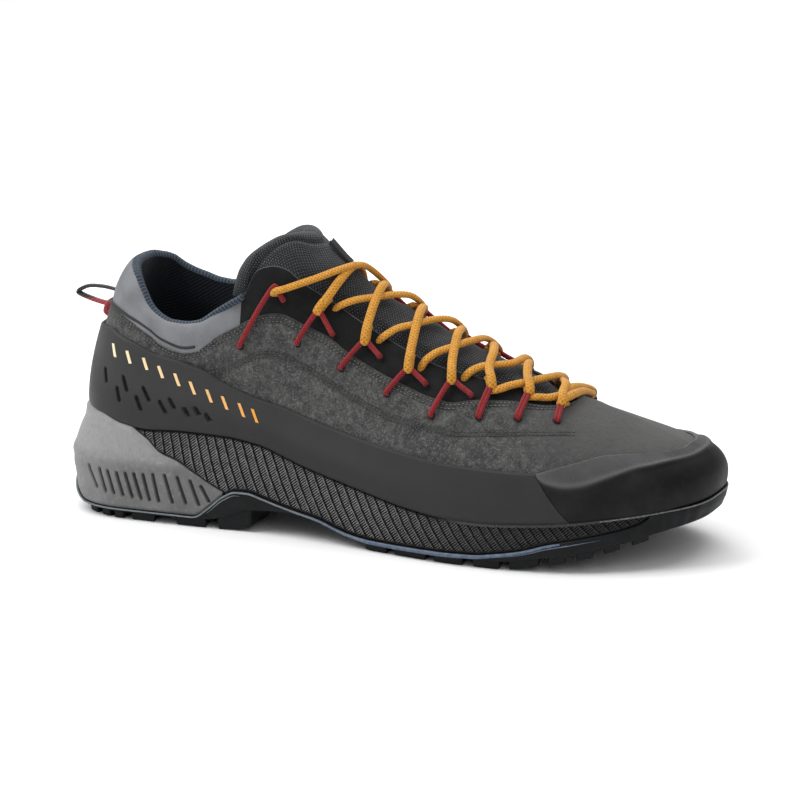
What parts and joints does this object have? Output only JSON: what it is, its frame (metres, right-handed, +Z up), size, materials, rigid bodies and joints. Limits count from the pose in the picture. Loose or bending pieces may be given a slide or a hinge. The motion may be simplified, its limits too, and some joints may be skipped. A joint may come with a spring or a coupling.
{
  "type": "approach shoe",
  "caption": "Low approach shoe with a suede upper, smooth rand and toe cap, cord lace loops and a lugged rubber sole.",
  "frame": {"origin": "on the floor under the middle of the heel's tread", "axes": "+X to the toe, +Y to the inner side of the foot, +Z up"},
  "size_m": [0.2902, 0.1035, 0.1256],
  "materials": {
    "suede": "napped grey suede",
    "rand": "smooth dark grey rubber skin, satin",
    "textile": "grey woven textile",
    "foam": "dark textured foam",
    "cradle": "smooth mid grey foam, satin",
    "rubber": "black rubber, satin",
    "footbed": "dark knitted top cloth",
    "lace": "braided orange-yellow cord",
    "loop": "braided red cord"
  },
  "bodies": {
    "root": {"outsole": "rubber", "heel_cradle": "cradle", "midsole": "foam", "insole": "footbed", "upper": "suede", "side_rand": "rand", "toe_cap": "rand", "tongue": "textile", "lace": "lace", "lace_loop_lateral_1": "loop", "lace_loop_lateral_2": "loop", "lace_loop_lateral_3": "loop", "lace_loop_lateral_4": "loop", "lace_loop_lateral_5": "loop", "lace_loop_lateral_6": "loop", "lace_loop_lateral_7": "loop", "lace_loop_lateral_8": "loop", "lace_loop_medial_1": "loop", "lace_loop_medial_2": "loop", "lace_loop_medial_3": "loop", "lace_loop_medial_4": "loop", "lace_loop_medial_5": "loop", "lace_loop_medial_6": "loop", "lace_loop_medial_7": "loop", "lace_loop_medial_8": "loop", "pull_loop": "loop", "pull_tab": "loop"}
  },
  "joints": []
}
